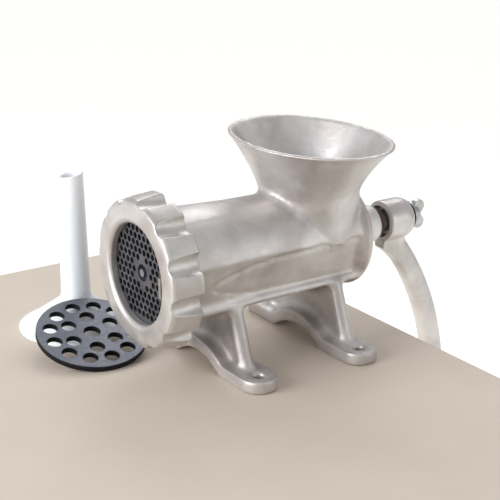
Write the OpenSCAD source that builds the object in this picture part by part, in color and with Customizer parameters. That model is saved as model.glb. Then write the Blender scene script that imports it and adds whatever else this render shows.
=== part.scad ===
// Hand crank meat grinder of the bolt-down kind, number 22 size, with its coarse plate and stuffing tube.
// Millimetres, +Z up. Origin on the table plane at the centre of the four bolt holes in the feet.
// The outlet faces -Y, the crank is at +Y and the feed axis runs along Y.

/* [Feet and mounting] */
// Which piece to draw, or all of them
// Height of the feed axis above the table
axis_h = 78; // [72:0.5:100]
// Hole spacing across the grinder
bolt_span_x = 120; // [112:1:150]
// Hole spacing along the grinder
bolt_span_y = 88; // [74:1:92]
// Diameter of the bolt holes in the feet
bolt_d = 9; // [6:0.1:10]
// Width of each foot strip along the grinder
foot_w = 27; // [22:0.5:28]
// Thickness of the foot strips
foot_t = 9.5; // [8:0.5:12]
// Height of the arch under each pair of legs
arch_h = 10.5; // [8:0.5:18]
// Thickness of the upright web of each leg
web_t = 8; // [6:0.5:12]

/* [Barrel] */
// Wall of the barrel round the plate's seat, out to the thread
front_wall = 4.2; // [3.5:0.1:6]
// Step from the thread down to the barrel behind the ring
thread_step = 3.5; // [2.5:0.5:4.5]
// Fall of the barrel's radius towards its closed end
barrel_taper = 4; // [1:0.5:4.5]
// Step from the plate's edge down to the feed bore
bore_step = 7; // [6:0.5:9]
// Taper of the feed bore radius over its length
feed_taper = 2.5; // [1:0.5:4]
// Y of the barrel's open end
barrel_front_y = -96; // [-100:0.5:-92]
// Y of the barrel's closed end
barrel_rear_y = 73; // [70:0.5:90]
// Thread pitch of the ring
ring_pitch = 5; // [4:0.5:6]
// Wall of the rear bearing boss round its bush
boss_wall = 3; // [2.5:0.5:5]
// Y of the end of the rear bearing boss
boss_end_y = 102; // [92:1:104]

/* [Hopper] */
// Half width of the hopper mouth across the grinder
mouth_x = 75.5; // [60:0.5:90]
// Half width of the hopper mouth along the grinder
mouth_y = 52.5; // [44:0.5:62]
// Height of the hopper rim above the feed axis
mouth_h = 78; // [68:1:96]
// Y of the hopper centre
hopper_y = 41.5; // [36:0.5:42]
// How much narrower the hopper neck is than the barrel on each side
neck_inset = 3.8; // [2:0.1:6]
// Half width of the hopper neck along the grinder
neck_y = 36.5; // [34:0.5:40]
// Wall of the hopper
hopper_wall = 4; // [3:0.25:5]

/* [Cutting set] */
// Diameter of the cutting plates
plate_d = 82; // [76:0.1:99]
// Thickness of the fine plate
plate_t = 9; // [7:0.5:11]
// Hole diameter of the fine plate
fine_hole_d = 4.5; // [3:0.1:5]
// Hole pitch of the fine plate
fine_pitch = 5.8; // [5.6:0.1:8]
// Hole diameter of the coarse plate
coarse_hole_d = 11; // [9:0.5:11.5]
// Thickness of the coarse plate
coarse_t = 4.5; // [4:0.5:6]
// Side of the knife's square hole
knife_square = 12; // [10:0.5:13]

/* [Ring] */
// Thickness of the ring's lobes over the thread
ring_wall = 9.5; // [8:0.5:12]
// How far the ring's lip covers the plate's edge
ring_lip = 5; // [3:0.5:8]
// Length of the ring
ring_len = 25; // [23:0.5:27]
// Number of lobes round the ring
ring_lobes = 12; // [8:1:14]

/* [Crank] */
// Distance from the feed axis to the grip axle
crank_r = 190; // [150:1:230]
// Wall of the crank hub round the journal
hub_wall = 7.5; // [7:0.5:10]
// Diameter of the feed screw's rear journal
journal_d = 17; // [17:0.1:20.5]
// Side of the square that drives the crank
drive_square = 11.9; // [10:0.1:12]
// Depth of the arm along the grinder
arm_depth = 18; // [14:0.5:20]
// Width of the arm across the grinder
arm_width = 15; // [12:0.5:18]
// Length of the wooden grip
grip_len = 86; // [70:1:110]
// Largest radius of the wooden grip
grip_r = 15; // [13:0.5:18]

/* [Stuffing tube] */
// Height of the stuffing tube
tube_h = 123; // [90:1:160]
// Room round the stuffing tube's flange inside the ring
flange_room = 1; // [0.5:0.5:3]
// Outer radius of the tube just above its cone
tube_r = 11.4; // [10:0.2:12]

/* [Fits] */
// Radial clearance of running fits
run_fit = 0.06; // [0.02:0.01:0.1]
// Gap between faces of different pieces that move past each other
part_gap = 0.3; // [0.2:0.05:0.4]

/* [Hidden] */
$fn = 64;
eps = 0.01;
cut = 1; // how far a cutting shape runs past the face it cuts
plate_r = plate_d / 2;
seat_r = plate_r + part_gap; // chamber that takes the plate and the knife
thread_r = seat_r + front_wall;
barrel_r = thread_r - thread_step;
barrel_end_r = barrel_r - barrel_taper;
feed_bore_r = plate_r - bore_step;
ring_r = thread_r + ring_wall;
ring_open_r = plate_r - ring_lip;
stud_hole_r = 6.12; // hole in the middle of every plate
plate_front_y = barrel_front_y - 4; // the plate stands proud so that the ring clamps it
plate_back_y = plate_front_y + plate_t;
knife_t = 9;
knife_back_y = plate_back_y + part_gap + knife_t;
chamber_end_y = knife_back_y + 1;
feed_front_y = chamber_end_y + 1;
rear_wall_y = barrel_rear_y - 13;
feed_len = rear_wall_y - chamber_end_y;
lip_t = 7;
ring_front_y = plate_front_y - lip_t - part_gap / 3;
ring_back_y = ring_front_y + ring_len;
ring_bore_r = thread_r + part_gap;
thread_end_y = ring_back_y - 1;
neck_top = axis_h + 36;
mouth_z = axis_h + mouth_h;
neck_x = barrel_r - neck_inset;
waist_r = barrel_end_r + 0.3 * (barrel_r - barrel_end_r); // where the barrel's quick taper ends
waist_run = 57;
bush_r = journal_d / 2 + 3;
journal_r = journal_d / 2;
boss_r = bush_r + boss_wall;
hub_r = journal_r + hub_wall;
washer_t = 3.5;
shoulder_y = rear_wall_y - washer_t - part_gap / 3;
hub_y = boss_end_y + 8; // the hub's open end
hub_len = 28;
hub_end_y = hub_y + hub_len;
recess_depth = 7;
screw_r = 4;
arc_r = 215; // the arm's bend
arc_z = axis_h - 154; // height where the bent arm has become vertical
arc_y = hub_y + 61.5 - arc_r;
arm_y = arc_y + arc_r;
eye_z = axis_h - crank_r;
eye_r = 11.5;
eye_front_y = arm_y - arm_depth / 2;
eye_back_y = arm_y + arm_depth / 2 + 1;
axle_r = 4;
grip_y = eye_back_y + 2 + 2 * part_gap / 3;
ferrule_t = 6;
key_w = 15;
key_in = ring_lip + 4; // how far the key reaches in from the plate's edge
tube_wall = 1.8;
tube_cone_h = 25;
lean = 17; // lean of the loose plate in degrees
lean_dir = -6; // heading of its low side, from +X towards +Y
coarse_x = -61.5;
coarse_y = -110;
tube_room = 13.3; // from the leaning plate's near edge to the tube's middle, clear of the cone
tube_x = coarse_x - plate_r * cos(lean) - tube_room;
tube_y = coarse_y + 14.5;
tube_flange_r = thread_r - flange_room;
shank_r = 7; // stud's shank, a tight fit in the screw
shank_end_y = feed_front_y + 22;
pin_r = 2; // cross pin through the screw and the stud
pin_y = feed_front_y + 11;
arm_round = 6.5; // corners of the arm's section

// A frame with its local Z along the feed axis
module along_y(y, z = axis_h) {
    translate([0, y, z]) rotate([-90, 0, 0]) children();
}

module rod_y(r, y0, y1, z = axis_h) {
    along_y(y0, z) cylinder(r = r, h = y1 - y0);
}

module ring_y(r_out, r_in, y0, y1, z = axis_h) {
    difference() {
        rod_y(r_out, y0, y1, z);
        rod_y(r_in, y0 - cut, y1 + cut, z);
    }
}

module rounded_rect(w, h, r) {
    square([w, h - 2 * r], center = true);
    square([w - 2 * r, h], center = true);
    for (sx = [-1, 1], sy = [-1, 1]) {
        translate([sx * (w / 2 - r), sy * (h / 2 - r)]) circle(r = r);
    }
}

// Solid through a list of elliptical sections [z, half x, half y]
module oval_loft(sections, n = 48) {
    rows = len(sections);
    points = [for (s = sections, i = [0 : n - 1])
        [s[1] * cos(360 * i / n), s[2] * sin(360 * i / n), s[0]]];
    sides = [for (k = [0 : rows - 2], i = [0 : n - 1], half = [0, 1])
        half == 0
            ? [k * n + i, (k + 1) * n + i, (k + 1) * n + (i + 1) % n]
            : [k * n + i, (k + 1) * n + (i + 1) % n, k * n + (i + 1) % n]];
    bottom = [[for (i = [0 : n - 1]) i]];
    top = [[for (i = [0 : n - 1]) (rows - 1) * n + n - 1 - i]];
    polyhedron(points = points, faces = concat(sides, bottom, top), convexity = 4);
}

// Flare of the hopper at fraction t of its height, less a wall
function flare(t, wall) = [
    neck_top + t * (mouth_z - neck_top),
    neck_x + (mouth_x - neck_x) * pow(t, 1.4) - wall,
    neck_y + (mouth_y - neck_y) * pow(t, 1.4) - wall];

module hopper_outside() {
    lip = 1.2;
    translate([0, hopper_y, 0]) oval_loft([
        [axis_h + 4, neck_x, neck_y],
        flare(0, 0), flare(0.2, 0), flare(0.4, 0), flare(0.6, 0), flare(0.8, 0), flare(0.93, 0),
        [mouth_z - 1.6, mouth_x, mouth_y],
        [mouth_z - 0.4, mouth_x - lip, mouth_y - lip],
        [mouth_z, mouth_x - 2 * lip, mouth_y - 2 * lip]]);
}

module hopper_inside() {
    w = hopper_wall;
    throat_x = sqrt(pow(feed_bore_r - feed_taper, 2) - 64);
    translate([0, hopper_y, 0]) oval_loft([
        [axis_h + 8, throat_x - 0.5, neck_y - w - 4],
        [axis_h + 22, throat_x, neck_y - w - 3],
        flare(0, w + 1.5), flare(0.2, w + 0.5), flare(0.4, w), flare(0.6, w), flare(0.8, w),
        flare(0.96, w),
        flare(1.02, w - 1)]);
}

// Outline of the turned body: radius against Y
module barrel_outline() {
    threads = floor((thread_end_y - barrel_front_y - 4) / ring_pitch);
    groove = 1.2;
    thread_points = [for (i = [0 : threads - 1], k = [0 : 2])
        [thread_r - (k == 1 ? groove : 0), barrel_front_y + 3 + i * ring_pitch + k * 1.6]];
    bead_r = 3.6;
    polygon(concat(
        [[0, barrel_front_y], [thread_r - 1, barrel_front_y], [thread_r, barrel_front_y + 1]],
        thread_points,
        [[thread_r, thread_end_y], [barrel_r, thread_end_y + 1.5],
        [waist_r, thread_end_y + waist_run],
        [barrel_end_r, barrel_rear_y - bead_r], [barrel_end_r, barrel_rear_y],
        [27, barrel_rear_y + 4], [boss_r + 3, barrel_rear_y + 9], [boss_r + 1, barrel_rear_y + 14],
        [boss_r, boss_end_y - 1], [boss_r - 1, boss_end_y], [0, boss_end_y]]));
    translate([barrel_end_r - 1.2, barrel_rear_y - bead_r]) circle(r = bead_r);
}

module foot_strip(y) {
    tip_x = bolt_span_x / 2 + foot_w / 2;
    arch_half = 29;
    arch_r = (arch_half * arch_half + arch_h * arch_h) / (2 * arch_h);
    intersection() {
        translate([0, y + foot_w / 2, 0]) rotate([90, 0, 0]) linear_extrude(foot_w) difference() {
            union() {
                translate([-tip_x, 0]) square([2 * tip_x, foot_t]);
                translate([0, arch_h - arch_r]) circle(r = arch_r + foot_t);
            }
            translate([0, arch_h - arch_r]) circle(r = arch_r);
            translate([-tip_x, -100]) square([2 * tip_x, 100]);
        }
        union() {
            translate([-bolt_span_x / 2, y - foot_w / 2, 0])
                cube([bolt_span_x, foot_w, axis_h]);
            for (s = [-1, 1]) {
                translate([s * bolt_span_x / 2, y, 0]) cylinder(d = foot_w, h = axis_h);
            }
        }
    }
}

module leg_pair(y) {
    top_x = 30;
    low_x = bolt_span_x / 2 - 14;
    top_z = axis_h - 26;
    bead_r = web_t / 2 + 1.6;
    bead_len = norm([low_x - top_x, top_z - foot_t]);
    foot_strip(y);
    translate([0, y + web_t / 2, 0]) rotate([90, 0, 0]) linear_extrude(web_t)
        polygon([[-low_x, foot_t - eps], [-top_x, top_z], [-18, top_z], [18, top_z], [top_x, top_z],
            [low_x, foot_t - eps], [29, foot_t - eps], [20, foot_t + arch_h / 2],
            [0, foot_t + arch_h - 1], [-20, foot_t + arch_h / 2], [-29, foot_t - eps]]);
    for (s = [-1, 1]) {
        translate([s * low_x, y, foot_t - 3])
            rotate([0, -s * atan2(low_x - top_x, top_z - foot_t), 0])
                cylinder(r = bead_r, h = bead_len + 3);
    }
}

// Long bead low on each flank, above the legs, and the flat flank over it
module flank_bead(s) {
    a = -38;
    translate([s * barrel_r * cos(a) * 0.985, thread_end_y + 3, axis_h + barrel_r * sin(a) * 0.985])
        rotate([-90, 0, s * 1.2]) cylinder(r = 3, h = barrel_rear_y - thread_end_y - 8);
}

module flank_flat(s) {
    a = -13;
    half = 24;
    ledge = 0.8;
    start = 4;
    run = barrel_rear_y - thread_end_y - 14;
    depths = [for (r = [barrel_r, waist_r, barrel_end_r]) r * cos(half) - ledge];
    translate([0, thread_end_y + start, axis_h]) rotate([0, s > 0 ? -a : 180 + a, 0])
        linear_extrude(2 * (barrel_end_r * sin(half) + 1.5), center = true)
            polygon([[depths[0], 0], [depths[1], waist_run - start], [depths[2], run],
                [barrel_r + 9, run], [barrel_r + 9, 0]]);
}

// Root of the plate's key, and the pocket for it in the barrel's wall
module key_root(front_y) {
    side_step = 2;
    depth = seat_r - plate_r + 2.8;
    translate([plate_r - 1, front_y, axis_h - key_w / 2 + side_step])
        cube([depth, plate_back_y - part_gap - front_y, key_w - 2 * side_step]);
}

module body_casting() {
    color("silver") difference() {
        union() {
            difference() {
                along_y(0) rotate_extrude() barrel_outline();
                flank_flat(1);
                flank_flat(-1);
            }
            hopper_outside();
            for (s = [-1, 1]) {
                leg_pair(s * bolt_span_y / 2);
                flank_bead(s);
            }
        }
        rod_y(seat_r, barrel_front_y - cut, chamber_end_y);
        along_y(chamber_end_y - eps)
            cylinder(r1 = feed_bore_r, r2 = feed_bore_r - feed_taper, h = feed_len + eps);
        rod_y(bush_r, rear_wall_y - cut, boss_end_y + cut);
        hopper_inside();
        key_root(barrel_front_y - cut);
        for (sx = [-1, 1], sy = [-1, 1]) {
            translate([sx * bolt_span_x / 2, sy * bolt_span_y / 2, -cut])
                cylinder(d = bolt_d, h = foot_t + 2 * cut);
        }
    }
}

module rear_bush() {
    color("goldenrod") ring_y(bush_r, journal_r + run_fit, rear_wall_y, boss_end_y);
}

// Lug that stops the plate from turning, let into the barrel's seat, with a nose in the ring's opening
module plate_key() {
    back_y = plate_back_y - part_gap;
    nose_x = plate_r - key_in + part_gap;
    nose_end_x = sqrt(pow(ring_open_r - part_gap, 2) - pow(key_w / 2, 2));
    color("gainsboro") {
        translate([nose_x, plate_front_y, axis_h - key_w / 2 + part_gap])
            cube([key_in - 2 * part_gap, back_y - plate_front_y, key_w - 2 * part_gap]);
        key_root(barrel_front_y);
        translate([nose_x, ring_front_y + 1, axis_h - key_w / 2 + part_gap])
            cube([nose_end_x - nose_x, plate_front_y + eps - ring_front_y - 1, key_w - 2 * part_gap]);
    }
}

module thrust_washer() {
    color("saddlebrown") ring_y(20, journal_r + part_gap, rear_wall_y - washer_t, rear_wall_y);
}

module cross_pin(len) {
    along_y(pin_y) rotate([90, 0, 0]) cylinder(r = pin_r, h = len, center = true);
}

module feed_screw() {
    flight_r = feed_bore_r - 1;
    flight_len = shoulder_y - 4 - feed_front_y;
    core_r = 11;
    color("lightgray") difference() {
        union() {
            along_y(feed_front_y)
                linear_extrude(height = flight_len, twist = 1080, slices = 66,
                    scale = (flight_r - feed_taper) / flight_r, convexity = 10)
                    intersection() {
                        circle(r = flight_r, $fn = 36);
                        polygon([[0, 0], [60, -18], [60, 18]]);
                    }
            along_y(feed_front_y) cylinder(r1 = core_r, r2 = core_r + 6, h = flight_len);
            rod_y(core_r + 7, feed_front_y + flight_len - eps, shoulder_y);
            rod_y(journal_r, shoulder_y - eps, hub_y + recess_depth);
            translate([-drive_square / 2, hub_y + recess_depth - eps, axis_h - drive_square / 2])
                cube([drive_square, hub_len - recess_depth - 2, drive_square]);
        }
        rod_y(shank_r, feed_front_y - cut, shank_end_y);
        rod_y(screw_r, hub_end_y - 20, hub_end_y + cut);
        cross_pin(60);
    }
}

module feed_stud() {
    color("silver") difference() {
        union() {
            rod_y(shank_r, knife_back_y, shank_end_y);
            translate([-knife_square / 2, plate_back_y + part_gap, axis_h - knife_square / 2])
                cube([knife_square, knife_t, knife_square]);
            rod_y(stud_hole_r - run_fit, plate_front_y + 3, plate_back_y + part_gap + eps);
            along_y(plate_front_y - 0.5) cylinder(r1 = 2.8, r2 = 3.6, h = 3.5 + eps);
        }
        cross_pin(20);
    }
}

module stud_pin() {
    color("dimgray") cross_pin(21);
}

module knife() {
    blade_r = plate_r - 3;
    color("dimgray") along_y(plate_back_y + part_gap) difference() {
        union() {
            cylinder(r = 12.5, h = knife_t);
            for (a = [0 : 90 : 270]) {
                rotate(a) linear_extrude(knife_t - 1)
                    polygon([[8, -6.5], [blade_r - 2, -5], [blade_r, 2], [30, 4], [8, 7]]);
            }
        }
        translate([-knife_square / 2, -knife_square / 2, -cut])
            cube([knife_square, knife_square, knife_t + 2 * cut]);
        for (a = [0 : 90 : 270]) {
            rotate(a) translate([15, 5, 3]) rotate([-30, 0, 0]) cube([40, 8, 12]);
        }
    }
}

module plate_blank(t) {
    difference() {
        cylinder(r = plate_r, h = t);
        translate([plate_r - key_in, -key_w / 2, -cut]) cube([key_in + cut, key_w, t + 2 * cut]);
    }
}

module fine_plate() {
    rows = floor((ring_open_r - 1) / (fine_pitch * sqrt(3) / 2));
    color("slategray") along_y(plate_front_y) difference() {
        plate_blank(plate_t);
        translate([0, 0, -cut]) cylinder(r = stud_hole_r, h = plate_t + 2 * cut);
        for (j = [-rows : rows], i = [-rows - 3 : rows + 3]) {
            x = (i + (j % 2 == 0 ? 0 : 0.5)) * fine_pitch;
            y = j * fine_pitch * sqrt(3) / 2;
            if (norm([x, y]) < ring_open_r && norm([x, y]) > 11.3
                && (x < plate_r - key_in - fine_hole_d || abs(y) > key_w / 2 + fine_hole_d / 2)) {
                translate([x, y, -cut])
                    cylinder(d = fine_hole_d, h = plate_t + 2 * cut, $fn = 16);
            }
        }
    }
}

module retaining_ring() {
    groove_r = 7.5;
    front_r = ring_r - 2;
    color("silver") along_y(ring_front_y) difference() {
        rotate_extrude() {
            polygon([[ring_open_r + 1.2, 0.8], [ring_open_r + 3, 0], [front_r - 5, 0],
                [front_r - 1.6, 0.8], [front_r, 3], [ring_r, ring_len - 4], [ring_r, ring_len - 2],
                [ring_r - 2, ring_len], [ring_bore_r + 0.6, ring_len],
                [ring_bore_r, ring_len - 0.6], [ring_bore_r, lip_t], [ring_open_r, lip_t],
                [ring_open_r, 2.2]]);
        }
        for (k = [0 : ring_lobes - 1]) {
            rotate(360 / ring_lobes * (k + 0.5) - 5) translate([ring_r + 2.6, 0, 0])
                rotate([0, -6, 0]) translate([0, 0, -10]) cylinder(r = groove_r, h = ring_len + 20);
        }
    }
}

module crank_arm() {
    top_angle = 44;
    color("silver") difference() {
        union() {
            along_y(0) rotate_extrude() {
                round_r = 10;
                translate([0, hub_y + 1]) square([hub_r, hub_len - round_r - 1]);
                translate([0, hub_y]) square([hub_r - 1, hub_len - round_r]);
                translate([0, hub_y]) square([hub_r - round_r, hub_len]);
                intersection() {
                    translate([hub_r - round_r, hub_end_y - round_r]) circle(r = round_r);
                    translate([0, hub_y]) square([hub_r + cut, hub_len + cut]);
                }
            }
            difference() {
                translate([0, arc_y, arc_z]) rotate([90, 0, 90]) rotate_extrude(angle = top_angle)
                    translate([arc_r, 0]) rounded_rect(arm_depth, arm_width, arm_round);
                translate([-50, hub_y - 50, axis_h - 50]) cube([100, 50, 100]);
            }
            translate([-arm_width / 2 + 2, 0, 0]) rotate([90, 0, 90]) linear_extrude(arm_width - 4)
                polygon([[hub_y, axis_h - 8], [hub_y, axis_h - hub_r - 5], [hub_y + 9, axis_h - 28],
                    [hub_y + 18, axis_h - 37], [hub_y + 24, axis_h - 34], [hub_y + 20, axis_h - 8]]);
            translate([0, arm_y, eye_z]) linear_extrude(arc_z - eye_z + eps)
                rotate(90) rounded_rect(arm_depth, arm_width, arm_round);
            rod_y(eye_r, eye_front_y, eye_back_y, eye_z);
        }
        rod_y(hub_r - 2.8, hub_y - cut, hub_y + recess_depth);
        translate([-drive_square / 2, hub_y, axis_h - drive_square / 2])
            cube([drive_square, hub_len + cut, drive_square]);
        rod_y(axle_r, eye_front_y - cut, eye_back_y + cut, eye_z);
    }
}

module hub_washer() {
    color("saddlebrown")
        ring_y(boss_r - 2.2, journal_r, boss_end_y + part_gap, boss_end_y + part_gap + 2.5);
}

module screw_washer() {
    color("silver") ring_y(11, screw_r + 0.3, hub_end_y, hub_end_y + 2);
}

module thumb_screw() {
    head_y = hub_end_y + 2;
    wing_t = 5;
    color("silver") {
        rod_y(screw_r, hub_end_y - 16, head_y + eps);
        rod_y(7, head_y, head_y + 6);
        translate([-wing_t / 2, head_y + 2, axis_h]) rotate([90, 0, 90])
            linear_extrude(wing_t) difference() {
                union() {
                    translate([0, -6.5]) square([8, 13]);
                    for (s = [-1, 1]) {
                        translate([6, s * 6.2]) circle(r = 5.4);
                    }
                }
                translate([14, 0]) circle(r = 5);
            }
    }
}

module grip_axle() {
    end_y = grip_y + grip_len;
    color("silver") {
        rod_y(axle_r, eye_front_y - 9, end_y - 1, eye_z);
        rod_y(7.5, end_y + 2 * part_gap / 3, end_y + 3.2, eye_z);
        rod_y(axle_r, end_y - 1 - eps, end_y + 1, eye_z);
    }
}

module crank_grip() {
    swell = grip_r - 9.5;
    neck = 9.5;
    color("burlywood") along_y(grip_y + ferrule_t, eye_z) difference() {
        rotate_extrude() polygon(concat(
            [[0, 0]],
            [for (i = [0 : 16])
                [neck + swell * pow(sin(180 * pow(i / 16, 1.35) * 0.93 + 6), 1.2),
                i / 16 * (grip_len - 2 * ferrule_t)]],
            [[0, grip_len - 2 * ferrule_t]]));
        translate([0, 0, -cut]) cylinder(r = axle_r + run_fit, h = grip_len + 2 * cut);
    }
}

module grip_ferrules() {
    color("silver") {
        ring_y(10.2, axle_r + run_fit, grip_y, grip_y + ferrule_t, eye_z);
        ring_y(10.2, axle_r + run_fit, grip_y + grip_len - ferrule_t, grip_y + grip_len, eye_z);
    }
}

module grip_washers() {
    color("silver") {
        ring_y(9, axle_r, eye_back_y, eye_back_y + 2, eye_z);
        ring_y(9, axle_r, eye_front_y - 1.5, eye_front_y, eye_z);
    }
}

module axle_nut() {
    color("silver") difference() {
        along_y(eye_front_y - 8, eye_z) cylinder(d = 15, h = 6.5, $fn = 6);
        rod_y(axle_r, eye_front_y - 9, eye_front_y, eye_z);
    }
}

module stuffing_tube() {
    mouth_r = tube_r - 2.2;
    color("white") translate([tube_x, tube_y, 0]) difference() {
        rotate_extrude() polygon([
            [tube_flange_r - 6, 0], [tube_flange_r, 0], [tube_flange_r, 3],
            [tube_flange_r - 3, 3.4], [tube_r + 2, tube_cone_h - 2], [tube_r, tube_cone_h + 3],
            [mouth_r, tube_h], [mouth_r - tube_wall, tube_h],
            [tube_r - tube_wall, tube_cone_h + 2], [tube_r, tube_cone_h - 5]]);
        translate([0, 0, tube_h + 7]) rotate([0, 8, 236])
            translate([0, 0, 3]) cube([60, 60, 20], center = true);
    }
}

module coarse_plate() {
    low = plate_r * sin(lean) + 0.05;
    outer_r = plate_r - 10.5;
    notch_at = 97; // the notch takes the place of one outer hole
    color("slategray") translate([coarse_x, coarse_y, low]) rotate(lean_dir) rotate([0, lean, 0])
        difference() {
            rotate(notch_at) plate_blank(coarse_t);
            translate([0, 0, -cut]) cylinder(r = stud_hole_r, h = coarse_t + 2 * cut);
            for (k = [0 : 5]) {
                rotate(60 * k + 51.5) translate([outer_r - coarse_hole_d - 1.6, 0, -cut])
                    cylinder(d = coarse_hole_d, h = coarse_t + 2 * cut);
            }
            for (k = [1 : 11]) {
                rotate(30 * k + notch_at) translate([outer_r, 0, -cut])
                    cylinder(d = coarse_hole_d, h = coarse_t + 2 * cut);
            }
        }
}

body_casting();
rear_bush();
plate_key();
thrust_washer();
feed_screw();
feed_stud();
stud_pin();
knife();
fine_plate();
retaining_ring();
crank_arm();
hub_washer();
screw_washer();
thumb_screw();
grip_axle();
crank_grip();
grip_ferrules();
grip_washers();
axle_nut();
stuffing_tube();
coarse_plate();
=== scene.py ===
"""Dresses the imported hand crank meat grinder: cast skins, turned and moulded pieces, and a plain studio."""

import math

import bmesh
import bpy
import numpy as np
from mathutils import Matrix, Vector


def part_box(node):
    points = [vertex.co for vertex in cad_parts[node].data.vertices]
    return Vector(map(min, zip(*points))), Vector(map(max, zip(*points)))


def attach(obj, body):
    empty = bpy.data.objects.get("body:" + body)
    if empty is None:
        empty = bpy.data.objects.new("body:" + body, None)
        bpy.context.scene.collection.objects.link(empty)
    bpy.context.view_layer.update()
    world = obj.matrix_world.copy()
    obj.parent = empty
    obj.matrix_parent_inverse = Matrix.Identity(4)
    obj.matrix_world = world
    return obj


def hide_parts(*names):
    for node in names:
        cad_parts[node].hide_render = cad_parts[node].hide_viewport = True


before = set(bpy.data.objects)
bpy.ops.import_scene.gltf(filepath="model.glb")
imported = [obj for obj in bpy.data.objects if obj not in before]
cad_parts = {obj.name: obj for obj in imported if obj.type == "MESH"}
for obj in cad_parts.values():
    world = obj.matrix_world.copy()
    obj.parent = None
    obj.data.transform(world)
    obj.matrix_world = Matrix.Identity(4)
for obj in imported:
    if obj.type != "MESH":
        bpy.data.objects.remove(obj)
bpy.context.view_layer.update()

bl_info = {
    "name": "Hand Crank Meat Grinder",
    "version": (1, 0, 0),
    "blender": (4, 5, 0),
    "location": "View3D > Sidebar > Grinder",
    "description": "Builds the visible pieces of a bolt-down hand crank meat grinder round its packed frame",
    "category": "Add Mesh",
}

MM = 0.001
WAVE_TURNS = 20  # a Wave texture draws this many bands in one unit of its scale
AXIS_Z = 78.0  # the feed axis over the table, in millimetres
HANDLE_Z = -112.0  # the handle's axis with the crank hanging down


# ---------------------------------------------------------------- colours, nodes and materials


def linear(hex_code):
    """An sRGB hex colour as linear red, green, blue and a full alpha."""
    channels = [int(hex_code[i : i + 2], 16) / 255 for i in (1, 3, 5)]
    return tuple(c / 12.92 if c <= 0.04045 else ((c + 0.055) / 1.055) ** 2.4 for c in channels) + (1.0,)


def put(tree, kind, inputs=None, **settings):
    """Adds a node to a tree, sets it up, and links or fills its inputs."""
    node = tree.nodes.new(kind)
    for name, value in settings.items():
        setattr(node, name, value)
    for name, value in (inputs or {}).items():
        if isinstance(value, bpy.types.NodeSocket):
            tree.links.new(value, node.inputs[name])
        else:
            node.inputs[name].default_value = value
    return node


def start_material(name, **constants):
    """A new material with its tree, its shader and the object coordinates.
    Values that are the same all over go on the shader's own sockets."""
    material = bpy.data.materials.new(name)
    material.use_nodes = True
    tree = material.node_tree
    tree.nodes.clear()
    shader = put(tree, "ShaderNodeBsdfPrincipled", {
        socket.replace("_", " "): value for socket, value in constants.items()})
    put(tree, "ShaderNodeOutputMaterial", {"Surface": shader.outputs["BSDF"]})
    place = put(tree, "ShaderNodeTexCoord").outputs["Object"]
    return material, tree, shader, place


def per_mm(size):
    """Noise scale whose features are about this many millimetres across."""
    return 1 / (size * MM)


def noise(tree, place, size, detail=3.0, roughness=0.5, distortion=0.0):
    """Cloudy pattern with features of the given size in millimetres."""
    return put(tree, "ShaderNodeTexNoise", {
        "Vector": place, "Scale": per_mm(size), "Detail": detail, "Roughness": roughness,
        "Distortion": distortion}).outputs["Fac"]


def ramp(tree, value, low, high, to_low, to_high):
    """A value spread from one range to another and clamped."""
    return put(tree, "ShaderNodeMapRange", {
        "Value": value, "From Min": low, "From Max": high,
        "To Min": to_low, "To Max": to_high}).outputs["Result"]


def blend_colours(tree, amount, first, second):
    """Two colours mixed by a value; each is a hex code or a colour socket."""
    node = put(tree, "ShaderNodeMix", data_type="RGBA")
    sockets = [s for s in node.inputs if s.type == "RGBA"]
    factor = [s for s in node.inputs if s.type == "VALUE"][0]
    tree.links.new(amount, factor)
    for socket, colour in zip(sockets, (first, second)):
        if isinstance(colour, str):
            socket.default_value = linear(colour)
        else:
            tree.links.new(colour, socket)
    return [s for s in node.outputs if s.type == "RGBA"][0]


def stretched(tree, place, scale):
    """Coordinates drawn out along the axes whose scale is under one."""
    return put(tree, "ShaderNodeMapping", {"Vector": place, "Scale": scale}).outputs["Vector"]


def raise_surface(tree, shader, heights):
    """Bumps laid one on another, each a value and its depth in millimetres."""
    normal = None
    for height, depth in heights:
        inputs = {"Height": height, "Distance": depth * MM, "Strength": 1.0}
        if normal is not None:
            inputs["Normal"] = normal
        normal = put(tree, "ShaderNodeBump", inputs).outputs["Normal"]
    tree.links.new(normal, shader.inputs["Normal"])


def tinned_casting(name, light="#D9D6D4", dull="#BDB8B5", stain="#A08D83", shine=0.4):
    """Sand-cast grey iron dipped in tin: a satin light grey skin over the sand's soft grain, cloudy where the
    tin ran thick and thin, with faint warm stains. The grain is drawn at 1.6 mm so that it shows."""
    material, tree, shader, place = start_material(name, Metallic=0.7)
    clouds = noise(tree, place, 34, 4.0, 0.55, 0.4)
    patches = noise(tree, place, 11, 3.0, 0.6)
    warm = noise(tree, place, 58, 3.0, 0.5, 0.6)
    skin = blend_colours(tree, ramp(tree, clouds, 0.35, 0.68, 0, 1), light, dull)
    skin = blend_colours(tree, ramp(tree, warm, 0.5, 0.78, 0, 0.5), skin, stain)
    skin = blend_colours(tree, ramp(tree, patches, 0.5, 0.85, 0, 0.35), skin, "#E4E2DF")
    tree.links.new(skin, shader.inputs["Base Color"])
    tree.links.new(ramp(tree, patches, 0.3, 0.75, shine, shine + 0.14), shader.inputs["Roughness"])
    raise_surface(tree, shader, [
        (noise(tree, place, 9, 2.0), 0.25), (noise(tree, place, 1.6, 3.0, 0.6), 0.12)])
    return material


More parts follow.
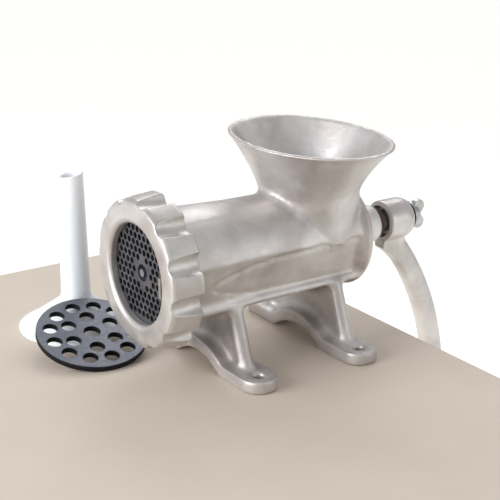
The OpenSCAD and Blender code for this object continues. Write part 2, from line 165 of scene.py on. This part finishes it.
def turned_metal(name, bright, dark, shine=0.24):
    """Bar stock turned on a lathe: bright, with the tool's rings drawn 0.9 mm apart so that they show."""
    material, tree, shader, place = start_material(name, Metallic=1.0)
    centred = put(tree, "ShaderNodeMapping", {"Vector": place, "Location": (0, 0, -AXIS_Z * MM)})
    rings = put(tree, "ShaderNodeTexWave", {
        "Vector": centred.outputs["Vector"], "Scale": per_mm(0.9) / WAVE_TURNS, "Distortion": 0.4,
        "Detail": 2.0}, wave_type="RINGS", rings_direction="Y", wave_profile="SIN").outputs["Fac"]
    smudge = noise(tree, place, 7, 3.0)
    colour = blend_colours(tree, ramp(tree, smudge, 0.35, 0.75, 0, 0.6), bright, dark)
    tree.links.new(colour, shader.inputs["Base Color"])
    tree.links.new(ramp(tree, smudge, 0.3, 0.7, shine, shine + 0.16), shader.inputs["Roughness"])
    raise_surface(tree, shader, [(rings, 0.02)])
    return material


UPRIGHT = (math.radians(90), 0, 0)  # turn of a plate that faces along the feed axis


def drilled_steel(name, face, dark, shine=0.36, turn=UPRIGHT, centre=(0, 0, AXIS_Z * MM)):
    """Carbon steel plate, ground and oiled: blue-grey with fine curved grinding marks 1.2 mm apart."""
    material, tree, shader, place = start_material(name, Metallic=0.82)
    laid = put(tree, "ShaderNodeMapping", {"Vector": place, "Location": centre, "Rotation": turn},
               vector_type="TEXTURE")
    marks = put(tree, "ShaderNodeTexWave", {
        "Vector": laid.outputs["Vector"], "Scale": per_mm(1.2) / WAVE_TURNS, "Distortion": 3.0,
        "Detail": 3.0, "Detail Scale": 1.5},
        wave_type="RINGS", rings_direction="Z", wave_profile="SIN").outputs["Fac"]
    cloud = noise(tree, place, 16, 4.0, 0.6)
    fleck = noise(tree, place, 2.2, 3.0, 0.6)
    colour = blend_colours(tree, ramp(tree, cloud, 0.35, 0.7, 0, 0.8), face, dark)
    colour = blend_colours(tree, ramp(tree, fleck, 0.55, 0.8, 0, 0.5), colour, dark)
    tree.links.new(colour, shader.inputs["Base Color"])
    tree.links.new(ramp(tree, fleck, 0.3, 0.7, shine, shine + 0.2), shader.inputs["Roughness"])
    raise_surface(tree, shader, [(marks, 0.015), (fleck, 0.02)])
    return material


def pressed_fibre(name):
    """Vulcanised fibre soaked in oil: dull reddish brown with short dark fibres 3 mm long."""
    material, tree, shader, place = start_material(name, Metallic=0.0, IOR=1.5)
    fibres = noise(tree, stretched(tree, place, (1.0, 0.25, 1.0)), 0.8, 4.0, 0.7)
    tree.links.new(blend_colours(tree, ramp(tree, fibres, 0.3, 0.7, 0, 1), "#4A2A1C", "#2A1811"),
                   shader.inputs["Base Color"])
    tree.links.new(ramp(tree, fibres, 0.3, 0.7, 0.5, 0.7), shader.inputs["Roughness"])
    raise_surface(tree, shader, [(fibres, 0.08)])
    return material


def turned_beech(name):
    """Steamed beech, turned and thinly varnished: warm tan, with close grain along the grip and short
    darker flecks."""
    material, tree, shader, place = start_material(
        name, Metallic=0.0, IOR=1.5, Coat_Weight=0.25, Coat_Roughness=0.2)
    along = stretched(tree, place, (1.0, 0.06, 1.0))
    grain = noise(tree, along, 1.6, 5.0, 0.65, 0.6)
    bands = noise(tree, along, 7, 2.0, 0.5, 1.2)
    flecks = noise(tree, stretched(tree, place, (1.0, 0.3, 1.0)), 0.9, 2.0, 0.5)
    colour = blend_colours(tree, ramp(tree, bands, 0.3, 0.7, 0, 1), "#C99A66", "#AE7844")
    colour = blend_colours(tree, ramp(tree, grain, 0.45, 0.75, 0, 0.7), colour, "#8F5E33")
    colour = blend_colours(tree, ramp(tree, flecks, 0.66, 0.74, 0, 0.6), colour, "#7A4A28")
    tree.links.new(colour, shader.inputs["Base Color"])
    tree.links.new(ramp(tree, grain, 0.3, 0.7, 0.34, 0.5), shader.inputs["Roughness"])
    raise_surface(tree, shader, [(grain, 0.05), (flecks, 0.03)])
    return material


def moulded_polyethylene(name):
    """Polyethylene, injection moulded: bluish white, waxy and a little see-through at its thin edges,
    with soft flow marks 12 mm apart and a fine matt grain."""
    material, tree, shader, place = start_material(
        name, Metallic=0.0, IOR=1.51, Subsurface_Weight=0.25, Subsurface_Scale=0.004)
    flow = noise(tree, stretched(tree, place, (1.0, 1.0, 0.3)), 12, 3.0, 0.5, 0.8)
    grain = noise(tree, place, 1.1, 2.0)
    tree.links.new(blend_colours(tree, ramp(tree, flow, 0.35, 0.7, 0, 1), "#F8FAFE", "#EBEFF7"),
                   shader.inputs["Base Color"])
    tree.links.new(ramp(tree, flow, 0.3, 0.7, 0.32, 0.42), shader.inputs["Roughness"])
    raise_surface(tree, shader, [(flow, 0.12), (grain, 0.015)])
    return material


def painted_board(name, first, second, glow=0.0):
    """Painted board for the studio: almost one pale colour, barely mottled by the roller, 60 mm apart."""
    material, tree, shader, place = start_material(
        name, Metallic=0.0, IOR=1.45, Emission_Color=linear(first), Emission_Strength=glow)
    mottle = noise(tree, place, 60, 4.0)
    tree.links.new(blend_colours(tree, mottle, first, second), shader.inputs["Base Color"])
    tree.links.new(ramp(tree, mottle, 0.3, 0.7, 0.55, 0.65), shader.inputs["Roughness"])
    return material


# ---------------------------------------------------------------- shapes


def link(name, mesh):
    """A new object at the origin holding a mesh."""
    piece = bpy.data.objects.new(name, mesh)
    bpy.context.scene.collection.objects.link(piece)
    return piece


def merged_copy(node, name):
    """A new object with the CAD node's shape, its loose triangles joined."""
    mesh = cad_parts[node].data.copy()
    mesh.name = name
    for spare in ("custom_normal", "sharp_face", "sharp_edge"):
        if spare in mesh.attributes:
            mesh.attributes.remove(mesh.attributes[spare])
    mesh.materials.clear()
    shape = bmesh.new()
    shape.from_mesh(mesh)
    bmesh.ops.remove_doubles(shape, verts=shape.verts, dist=0.005 * MM)
    shape.to_mesh(mesh)
    shape.free()
    return link(name, mesh)


def settle(piece):
    """Applies a piece's modifiers to its mesh."""
    depsgraph = bpy.context.evaluated_depsgraph_get()
    done = bpy.data.meshes.new_from_object(piece.evaluated_get(depsgraph))
    piece.modifiers.clear()
    old, name = piece.data, piece.data.name
    piece.data = done
    bpy.data.meshes.remove(old)
    done.name = name


def reskin(piece, voxel):
    """Gives a piece one even skin of small faces, as a casting has no seams."""
    skin = piece.modifiers.new("Skin", "REMESH")
    skin.mode = "VOXEL"
    skin.voxel_size = voxel * MM
    skin.use_smooth_shade = True
    settle(piece)


def soften(piece, steps):
    """Wears the corners down, as a sand mould and a tin bath do."""
    shape = bmesh.new()
    shape.from_mesh(piece.data)
    for _ in range(steps):
        bmesh.ops.smooth_vert(shape, verts=shape.verts, factor=0.5,
                              use_axis_x=True, use_axis_y=True, use_axis_z=True)
    shape.to_mesh(piece.data)
    shape.free()


def points_of(piece):
    """The piece's vertices in millimetres."""
    flat = np.empty(len(piece.data.vertices) * 3)
    piece.data.vertices.foreach_get("co", flat)
    return flat.reshape(-1, 3) / MM


def set_points(piece, points):
    """Puts vertices given in millimetres back."""
    piece.data.vertices.foreach_set("co", (points * MM).ravel())
    piece.data.update()


def swell(piece, reach, hold=None):
    """Moves the skin outwards by reach millimetres, less where hold says so."""
    normals = np.empty(len(piece.data.vertices) * 3)
    piece.data.vertices.foreach_get("normal", normals)
    points = points_of(piece)
    amount = np.full(len(points), float(reach))
    if hold is not None:
        amount *= hold(points)
    set_points(piece, points + normals.reshape(-1, 3) * amount[:, None])


def smooth_share(value, start, end):
    """0 before start, 1 after end, and a smooth rise between."""
    t = np.clip((value - start) / (end - start), 0, 1)
    return t * t * (3 - 2 * t)


def shade(piece, *materials):
    """Smooth shading and the piece's materials."""
    piece.data.materials.clear()
    for material in materials:
        piece.data.materials.append(material)
    piece.data.polygons.foreach_set("use_smooth", [True] * len(piece.data.polygons))


def shade_cad(node, material):
    """Gives a carried-over CAD node its material."""
    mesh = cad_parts[node].data
    mesh.materials.clear()
    mesh.materials.append(material)


def spun(name, outline, centre, round_off, sharp_angle, axis="Z", steps=96):
    """A closed outline of (radius, height) in millimetres turned into a bored solid, corners rounded."""
    mesh = bpy.data.meshes.new(name)
    shape = bmesh.new()
    verts = [shape.verts.new((r * MM, 0, z * MM)) for r, z in outline]
    edges = [shape.edges.new(pair) for pair in zip(verts, verts[1:] + verts[:1])]
    bmesh.ops.spin(shape, geom=verts + edges, cent=(0, 0, 0), axis=(0, 0, 1), angle=math.tau, steps=steps,
                   use_merge=True, use_duplicate=False)
    bmesh.ops.remove_doubles(shape, verts=shape.verts, dist=0.002 * MM)
    bmesh.ops.recalc_face_normals(shape, faces=shape.faces)
    corners = [e for e in shape.edges if len(e.link_faces) == 2
               and e.calc_face_angle(0) > math.radians(sharp_angle)]
    bmesh.ops.bevel(shape, geom=corners, offset=round_off * MM, offset_type="OFFSET", segments=3,
                    profile=0.5, affect="EDGES", clamp_overlap=True, material=-1)
    turn = Matrix.Rotation(math.radians(-90), 4, "X") if axis == "Y" else Matrix.Identity(4)
    bmesh.ops.transform(shape, matrix=Matrix.Translation(Vector(centre) * MM) @ turn, verts=shape.verts)
    shape.to_mesh(mesh)
    shape.free()
    return link(name, mesh)


def bevelled(piece, width, angle):
    """Breaks the sharp edges of a machined piece."""
    edge = piece.modifiers.new("Broken edges", "BEVEL")
    edge.width = width * MM
    edge.segments = 2
    edge.limit_method = "ANGLE"
    edge.angle_limit = math.radians(angle)
    edge.use_clamp_overlap = True
    settle(piece)


# ---------------------------------------------------------------- sizes and colours


def size(name, description, default, **limits):
    """A length in millimetres."""
    return bpy.props.FloatProperty(name=name, description=description, default=default, **limits)


def paint(name, description, default):
    """A colour as an sRGB hex code."""
    return bpy.props.StringProperty(name=name, description=description, default=default)


class GrinderSizes(bpy.types.PropertyGroup):
    """Sizes of the casting that its skin is trued to, in millimetres."""

    axis_height: size("Axis height", "Feed axis above the table", AXIS_Z)
    neck_top: size("Neck top", "Height where the hopper starts to flare", 114.0)
    mouth_z: size("Mouth height", "Height of the hopper's rim", 156.0)
    neck_x: size("Neck across", "Half width of the neck across", 38.2)
    neck_y: size("Neck along", "Half width of the neck along", 36.5)
    mouth_x: size("Mouth across", "Half width of the mouth across", 75.5)
    mouth_y: size("Mouth along", "Half width of the mouth along", 52.5)
    hopper_y: size("Hopper centre", "Y of the hopper's centre", 41.5)
    bolt_x: size("Bolt spacing across", "Hole spacing across", 120.0)
    bolt_y: size("Bolt spacing along", "Hole spacing along", 88.0)
    fillet: size("Fillet", "Radius left in the casting's inner corners", 1.7, min=0.0, max=5.0)
    skin: size("Skin", "Face size of the casting's skin", 1.5, min=1.5, max=4.0)


class GrinderColours(bpy.types.PropertyGroup):
    """Colours of the main finishes, as sRGB hex codes."""

    tin_light: paint("Tin", "Clean tinned iron", "#D6D3D1")
    tin_dull: paint("Dull tin", "Thin or worn tin", "#BAB5B2")
    plate: paint("Plate", "Ground plate steel", "#777A82")
    floor: paint("Floor", "Studio floor", "#F3F2EF")
    bench: paint("Bench", "Bench top", "#D8CCBE")


# ---------------------------------------------------------------- operators


class GRINDER_OT_casting(bpy.types.Operator):
    """The barrel, hopper and legs as one soft-cornered tinned casting"""

    bl_idname = "grinder.casting"
    bl_label = "Body casting"

    def flare(self, z):
        """Half widths of the hopper's outside at a height, and its wall."""
        s = bpy.context.scene.grinder_sizes
        t = np.clip((z - s.neck_top) / (s.mouth_z - s.neck_top), 0, 1.05)
        rise = t ** 1.4
        wall = np.interp(t, (0, 0.2, 0.4, 1.0), (5.5, 4.5, 4.0, 4.0))
        return s.neck_x + (s.mouth_x - s.neck_x) * rise, s.neck_y + (s.mouth_y - s.neck_y) * rise, wall

    def hold(self, points):
        """Where the corners may be filled: not in bolt holes, bores or the thread."""
        s = bpy.context.scene.grinder_sizes
        foot_top, bore_r, barrel_back = 16, 36.9, 76
        away = np.hypot(np.abs(points[:, 0]) - s.bolt_x / 2, np.abs(points[:, 1]) - s.bolt_y / 2)
        free = np.where(points[:, 2] < foot_top, smooth_share(away, 7.5, 13), 1.0)
        radius = np.hypot(points[:, 0], points[:, 2] - s.axis_height)
        inside = (radius < bore_r) & (points[:, 2] < s.neck_top - 2) & (points[:, 1] < barrel_back)
        free = np.where(inside, 0.0, free)
        return free * smooth_share(points[:, 1], -84, -78)

    def true_hopper(self, points):
        """Draws the skin on to the hopper's even flare, inside and out, where it is already close."""
        s = bpy.context.scene.grinder_sizes
        reach, close = 0.9, 0.5
        x, y, z = points[:, 0], points[:, 1] - s.hopper_y, points[:, 2]
        across, along, wall = self.flare(z)
        band = smooth_share(z, s.neck_top - 1, s.neck_top + 3)
        band *= 1 - smooth_share(z, s.mouth_z - 3.2, s.mouth_z - 1.6)
        for inset in (0.0, wall):
            ratio = np.hypot(x / (across - inset), y / (along - inset))
            far = np.abs(ratio - 1) * np.minimum(across - inset, along - inset)
            share = band * (1 - smooth_share(far, close, close + reach))
            pull = 1 + share * (1 / np.maximum(ratio, 0.01) - 1)
            x, y = x * pull, y * pull
        points[:, 0], points[:, 1] = x, y + s.hopper_y

    def true_barrel(self, points):
        """Draws the skin on to the turned barrel and its rear bead, but leaves the side panels and ribs."""
        s = bpy.context.scene.grinder_sizes
        end_r, taper, taper_len, taper_power = 38, 4, 151, 2.62
        bead_y, bead_r, bead_centre_r = 69.4, 3.6, 36.8
        along = points[:, 1]
        target = end_r + taper * np.clip((bead_y - along) / taper_len, 0, 1) ** taper_power
        bead = np.clip(bead_r ** 2 - (along - bead_y) ** 2, 0, None)
        target = np.maximum(target, bead_centre_r + np.sqrt(bead))
        dx, dz = points[:, 0], points[:, 2] - s.axis_height
        radius = np.hypot(dx, dz)
        near = 1 - smooth_share(np.abs(radius - target), 0.35, 0.9)
        near *= smooth_share(along, -80, -76) * (1 - smooth_share(along, 71.5, 73))
        lift = np.degrees(np.arctan2(dz, np.abs(dx)))
        near *= (points[:, 2] < s.neck_top) * np.maximum(
            smooth_share(lift, 11, 13), 1 - smooth_share(lift, -40, -38))
        pull = 1 + near * (target / np.maximum(radius, 1) - 1)
        points[:, 0], points[:, 2] = dx * pull, s.axis_height + dz * pull

    def execute(self, context):
        s = context.scene.grinder_sizes
        piece = merged_copy("body_casting", "cast_body")
        reskin(piece, s.skin)
        swell(piece, s.fillet, self.hold)
        reskin(piece, s.skin)
        swell(piece, -s.fillet, self.hold)
        soften(piece, 2)
        points = points_of(piece)
        self.true_hopper(points)
        self.true_barrel(points)
        set_points(piece, points)
        soften(piece, 1)
        colours = context.scene.grinder_colours
        shade(piece, tinned_casting("Tinned sand-cast iron", colours.tin_light, colours.tin_dull))
        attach(piece, "frame")
        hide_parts("body_casting")
        return {"FINISHED"}


class GRINDER_OT_ring(bpy.types.Operator):
    """The lobed clamping ring, cast and turned inside"""

    bl_idname = "grinder.ring"
    bl_label = "Clamping ring"

    def execute(self, context):
        piece = merged_copy("retaining_ring", "clamp_ring")
        reskin(piece, 0.6)
        soften(piece, 2)
        colours = context.scene.grinder_colours
        shade(piece, tinned_casting("Tinned ring iron", "#D3D1CE", colours.tin_dull, shine=0.34))
        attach(piece, "ring")
        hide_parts("retaining_ring")
        return {"FINISHED"}


class GRINDER_OT_crank(bpy.types.Operator):
    """The curved crank and the wing screw that holds it"""

    bl_idname = "grinder.crank"
    bl_label = "Crank and wing screw"

    def hold(self, points):
        """Where the corners may be filled: not in the handle's eye, nor in the hub's recess and square."""
        x, z = points[:, 0], points[:, 2]
        in_eye = np.hypot(x, z - HANDLE_Z) < 9
        return np.where(in_eye, 0.0, smooth_share(np.hypot(x, z - AXIS_Z), 12.5, 13.6))

    def execute(self, context):
        colours = context.scene.grinder_colours
        fine, fillet = 0.85, 2.0
        arm = merged_copy("crank_arm", "crank_casting")
        reskin(arm, fine)
        swell(arm, fillet, self.hold)
        reskin(arm, fine)
        swell(arm, -fillet, self.hold)
        soften(arm, 8)
        shade(arm, tinned_casting("Tinned crank iron", colours.tin_light, colours.tin_dull, shine=0.3))
        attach(arm, "feed")
        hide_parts("crank_arm")
        wing = merged_copy("thumb_screw", "wing_screw")
        reskin(wing, 0.4)
        soften(wing, 4)
        shade(wing, turned_metal("Zinc plated steel", "#C9C9C8", "#8F8F8E", 0.3))
        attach(wing, "feed")
        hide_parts("thumb_screw")
        return {"FINISHED"}


class GRINDER_OT_grip(bpy.types.Operator):
    """The turned wooden grip"""

    bl_idname = "grinder.grip"
    bl_label = "Wooden grip"

    def execute(self, context):
        low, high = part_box("crank_grip")
        length = (high.y - low.y) / MM
        neck_r, belly, bore_r, steps = 9.5, 5.45, 4.06, 28
        shares = [i / steps for i in range(steps + 1)]
        curve = [(neck_r + belly * math.sin(math.radians(180 * t ** 1.35 * 0.93 + 6)) ** 1.2, t * length)
                 for t in shares]
        outline = [(bore_r, 0.0)] + curve + [(bore_r, length)]
        centre = (0, low.y / MM, (low.z + high.z) / 2 / MM)
        piece = spun("wooden_grip", outline, centre, 0.5, 50, axis="Y")
        shade(piece, turned_beech("Varnished turned beech"))
        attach(piece, "grip")
        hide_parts("crank_grip")
        return {"FINISHED"}


class GRINDER_OT_tube(bpy.types.Operator):
    """The moulded stuffing tube standing on its flange"""

    bl_idname = "grinder.tube"
    bl_label = "Stuffing tube"

    def execute(self, context):
        low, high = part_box("stuffing_tube")
        centre = ((low.x + high.x) / 2 / MM, (low.y + high.y) / 2 / MM, 0)
        flange, height, foot_r, cone, wall = 44.5, high.z / MM, 11.4, 25.0, 1.8
        tip_r = foot_r - 2.2
        outline = [(flange - 6, 0), (flange, 0), (flange, 3), (flange - 3, 3.4), (foot_r + 2, cone - 2),
                   (foot_r + 0.6, cone - 0.2), (foot_r, cone + 3), (tip_r, height),
                   (tip_r - wall, height), (foot_r - wall, cone + 2), (foot_r, cone - 5)]
        piece = spun("filler_tube", outline, centre, 0.7, 12, steps=112)
        # The tip is cut on a slant: its near side is drawn down, fading out 25 mm below.
        slope, heading = math.tan(math.radians(10)), math.radians(236)
        points = points_of(piece)
        lie = (points[:, 0] - centre[0]) * math.cos(heading) + (points[:, 1] - centre[1]) * math.sin(heading)
        share = smooth_share(points[:, 2], height - 25, height - 2)
        points[:, 2] -= share * slope * (lie + tip_r)
        set_points(piece, points)
        shade(piece, moulded_polyethylene("Moulded polyethylene"))
        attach(piece, "tube")
        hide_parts("stuffing_tube")
        return {"FINISHED"}


class GRINDER_OT_plates(bpy.types.Operator):
    """The drilled plates, one in the ring and one lying by the tube, the loose one with its edges broken"""

    bl_idname = "grinder.plates"
    bl_label = "Drilled plates"

    def execute(self, context):
        colours = context.scene.grinder_colours
        shade_cad("fine_plate", drilled_steel("Oiled ground steel", "#73747A", "#45464B"))
        loose = merged_copy("coarse_plate", "loose_coarse_plate")
        bevelled(loose, 0.45, 35)
        low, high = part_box("coarse_plate")
        centre = ((low + high) / 2)[:]
        tip, heading = math.radians(17), math.radians(-6)
        lean = (0, tip, heading)
        face = drilled_steel("Ground steel face", colours.plate, "#6C6F78", 0.4, lean, centre)
        rim = drilled_steel("Blackened steel edge", "#26272B", "#17181B", 0.42, lean, centre)
        shade(loose, face, rim)
        up = Vector((math.sin(tip) * math.cos(heading), math.sin(tip) * math.sin(heading), math.cos(tip)))
        for polygon in loose.data.polygons:
            facing = polygon.normal.dot(up)
            polygon.use_smooth = abs(facing) < 0.2
            polygon.material_index = 0 if facing > 0.6 else 1
        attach(loose, "loose_plate")
        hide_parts("coarse_plate")
        return {"FINISHED"}


class GRINDER_OT_fittings(bpy.types.Operator):
    """The carried-over shafts, washers, bush, knife and feed screw get their finishes"""

    bl_idname = "grinder.fittings"
    bl_label = "Fittings"

    def execute(self, context):
        steel = turned_metal("Turned mild steel", "#B4B6B9", "#85878B")
        stud = turned_metal("Polished stud steel", "#A9B3C4", "#6F7888", 0.2)
        brass = turned_metal("Turned brass", "#C8A45C", "#9A7A3E", 0.26)
        fibre = pressed_fibre("Oiled vulcanised fibre")
        screw = tinned_casting("Worn tinned screw iron", "#BDBAB6", "#98948F", "#8A7B72", 0.3)
        knife = drilled_steel("Ground knife steel", "#7E8086", "#54565B", 0.3)
        finishes = {
            "rear_bush": brass, "plate_key": screw, "thrust_washer": fibre, "hub_washer": fibre,
            "feed_screw": screw, "feed_stud": stud, "stud_pin": steel, "knife": knife, "screw_washer": steel,
            "grip_axle": steel, "grip_ferrules": steel, "grip_washers": steel, "axle_nut": steel}
        for node, material in finishes.items():
            shade_cad(node, material)
        return {"FINISHED"}


def soft_lamp(name, place, aim, sides, power, colour="#FFFFFF"):
    """A large oblong lamp at a place, turned to a point; metres and watts."""
    lamp = bpy.data.lights.new(name, "AREA")
    lamp.shape = "RECTANGLE"
    lamp.size, lamp.size_y = sides
    lamp.energy = power
    lamp.color = linear(colour)[:3]
    holder = bpy.data.objects.new(name, lamp)
    bpy.context.scene.collection.objects.link(holder)
    holder.location = place
    holder.rotation_euler = (Vector(aim) - Vector(place)).to_track_quat("-Z", "Y").to_euler()


class GRINDER_OT_stage(bpy.types.Operator):
    """A pale bench top over a pale floor, soft lamps and the camera"""

    bl_idname = "grinder.stage"
    bl_label = "Studio"

    def slab(self, name, low, high, material):
        """A board between two corners, its edges eased."""
        mesh = bpy.data.meshes.new(name)
        shape = bmesh.new()
        bmesh.ops.create_cube(shape, size=1.0)
        sides = Vector(high) - Vector(low)
        middle = (Vector(high) + Vector(low)) / 2
        bmesh.ops.transform(shape, matrix=Matrix.Translation(middle) @ Matrix.Diagonal((*sides, 1)),
                            verts=shape.verts)
        bmesh.ops.bevel(shape, geom=shape.edges[:], offset=0.003, offset_type="OFFSET", segments=3,
                        profile=0.5, affect="EDGES", clamp_overlap=True, material=-1)
        shape.to_mesh(mesh)
        shape.free()
        piece = link(name, mesh)
        piece.data.materials.append(material)

    def execute(self, context):
        colours = context.scene.grinder_colours
        floor = painted_board("Studio floor paint", colours.floor, "#EFEDE9", 0.55)
        bench = painted_board("Bench top paint", colours.bench, "#CFC2B2")
        self.slab("studio_floor", (-9, -9, -0.52), (9, 9, -0.50), floor)
        self.slab("bench_top", (-0.255, -1.1, -0.032), (1.3, 0.108, 0), bench)
        world = bpy.data.worlds.new("Studio air")
        world.use_nodes = True
        context.scene.world = world
        tree = world.node_tree
        tree.nodes.clear()
        back = put(tree, "ShaderNodeBackground", {"Color": linear("#F4F5F7"), "Strength": 0.62})
        put(tree, "ShaderNodeOutputWorld", {"Surface": back.outputs["Background"]})
        soft_lamp("Back lamp", (-0.9, 0.7, 1.2), (0, 0, 0.08), (1.0, 0.8), 6.5)
        soft_lamp("Window lamp", (-0.1, -1.7, 0.6), (0, 0, 0.06), (1.3, 1.0), 30, "#FBFBFF")
        soft_lamp("Side lamp", (1.4, 0.9, 0.45), (0, 0.05, 0.05), (0.5, 0.9), 2.5, "#FFFDFA")
        camera = bpy.data.cameras.new("Camera")
        camera.sensor_width = 36.0
        camera.lens = 94.34
        camera.clip_end = 60
        holder = bpy.data.objects.new("Camera", camera)
        context.scene.collection.objects.link(holder)
        holder.location = (0.7442, -0.5132, 0.3845)
        holder.rotation_euler = (math.radians(90 - 18.87), 0, math.radians(55.97))
        context.scene.camera = holder
        context.scene.view_settings.view_transform = "Standard"
        return {"FINISHED"}


class GRINDER_PT_panel(bpy.types.Panel):
    """Lists the pieces in the sidebar"""

    bl_label = "Grinder"
    bl_idname = "GRINDER_PT_panel"
    bl_space_type = "VIEW_3D"
    bl_region_type = "UI"
    bl_category = "Grinder"

    def draw(self, context):
        for operator in PIECES:
            self.layout.operator(operator.bl_idname)
        for group in (context.scene.grinder_sizes, context.scene.grinder_colours):
            for name in group.__annotations__:
                self.layout.prop(group, name)


PIECES = (GRINDER_OT_casting, GRINDER_OT_ring, GRINDER_OT_crank, GRINDER_OT_grip, GRINDER_OT_tube,
          GRINDER_OT_plates, GRINDER_OT_fittings, GRINDER_OT_stage)
GROUPS = (GrinderSizes, GrinderColours)


def register():
    """Registers the classes and puts the two groups on the scene."""
    for item in GROUPS + PIECES + (GRINDER_PT_panel,):
        bpy.utils.register_class(item)
    bpy.types.Scene.grinder_sizes = bpy.props.PointerProperty(type=GrinderSizes)
    bpy.types.Scene.grinder_colours = bpy.props.PointerProperty(type=GrinderColours)


def unregister():
    """Takes them off again."""
    del bpy.types.Scene.grinder_sizes
    del bpy.types.Scene.grinder_colours
    for item in reversed(GROUPS + PIECES + (GRINDER_PT_panel,)):
        bpy.utils.unregister_class(item)


def main():
    """Builds every piece in order."""
    register()
    for operator in PIECES:
        group, name = operator.bl_idname.split(".")
        getattr(getattr(bpy.ops, group), name)()


if __name__ == "__main__":
    main()
